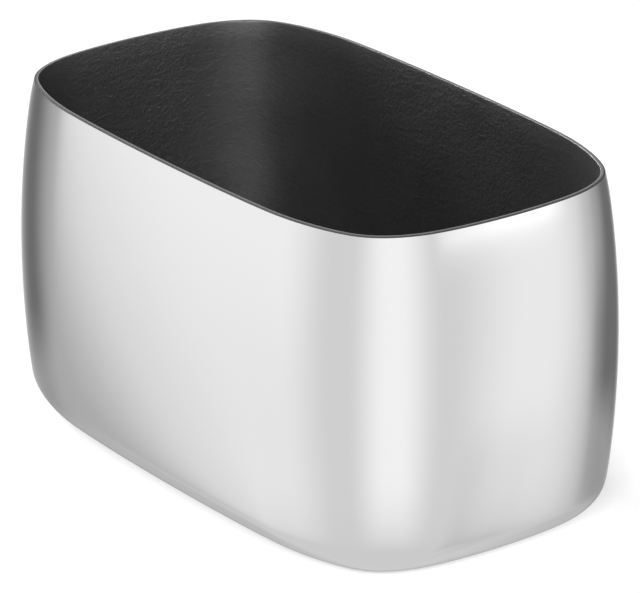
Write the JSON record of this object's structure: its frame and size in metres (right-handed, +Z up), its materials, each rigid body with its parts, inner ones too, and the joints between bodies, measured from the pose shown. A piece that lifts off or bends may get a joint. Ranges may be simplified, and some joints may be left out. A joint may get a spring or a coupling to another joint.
{
  "type": "sugar packet holder",
  "caption": "Open-topped double-wall table holder for sugar packets, with barrel-curved mirror-polished sides, a black textured inside and a flush base.",
  "frame": {"origin": "centre of the bottom of the bounding box, on the surface that the holder stands on", "axes": "+X along the long sides, +Y across the holder, +Z up out of the mouth"},
  "size_m": [0.1056, 0.0636, 0.0564],
  "materials": {
    "mirror_steel": "mirror-polished stainless steel",
    "black_coating": "fine-textured satin black coating on steel",
    "plain_steel": "satin mill-finish steel",
    "grip_rubber": "matt"
  },
  "bodies": {
    "root": {"outer_shell": "mirror_steel", "inner_liner": "black_coating", "base_plate": "plain_steel", "base_pad": "grip_rubber"}
  },
  "joints": []
}
